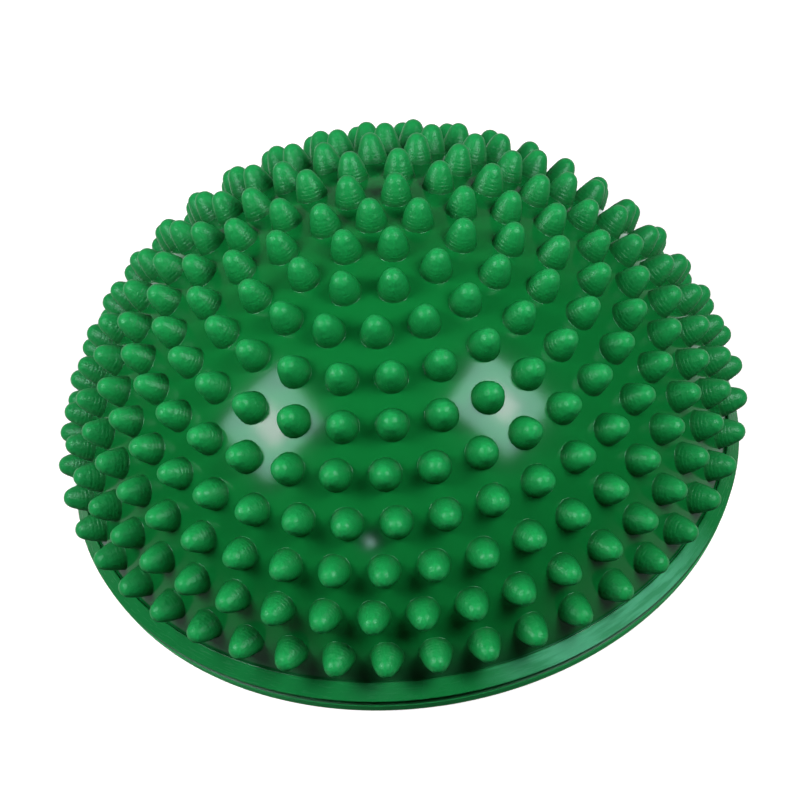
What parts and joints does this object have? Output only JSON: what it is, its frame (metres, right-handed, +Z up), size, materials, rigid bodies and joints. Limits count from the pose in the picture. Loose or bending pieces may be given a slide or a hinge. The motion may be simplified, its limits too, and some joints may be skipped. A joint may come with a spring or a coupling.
{
  "type": "balance pad",
  "caption": "Hollow half-ball balance pad with blunt massage spikes over the dome, a smooth rim band, a flat base and a pull-out air stopper underneath.",
  "frame": {"origin": "centre of the flat underside, on the surface the pad stands on", "axes": "+Z up through the top of the dome; X and Y are level, and the side facing -Y is the front"},
  "size_m": [0.1638, 0.1636, 0.0797],
  "materials": {
    "dome_pvc": "glossy soft PVC, mid green",
    "base_pvc": "satin soft PVC, mid green",
    "seat_pvc": "matt soft PVC, dark green",
    "plug_pvc": "satin white PVC"
  },
  "bodies": {
    "pad": {"dome_shell": "dome_pvc", "base_plate": "base_pvc", "valve_seat": "seat_pvc"},
    "stopper": {"valve_plug": "plug_pvc"}
  },
  "joints": [
    {"name": "plug_pull", "type": "slide", "parent": "pad", "child": "stopper", "axis": [0, 0, -1], "range_m": [0, 0.022]}
  ]
}
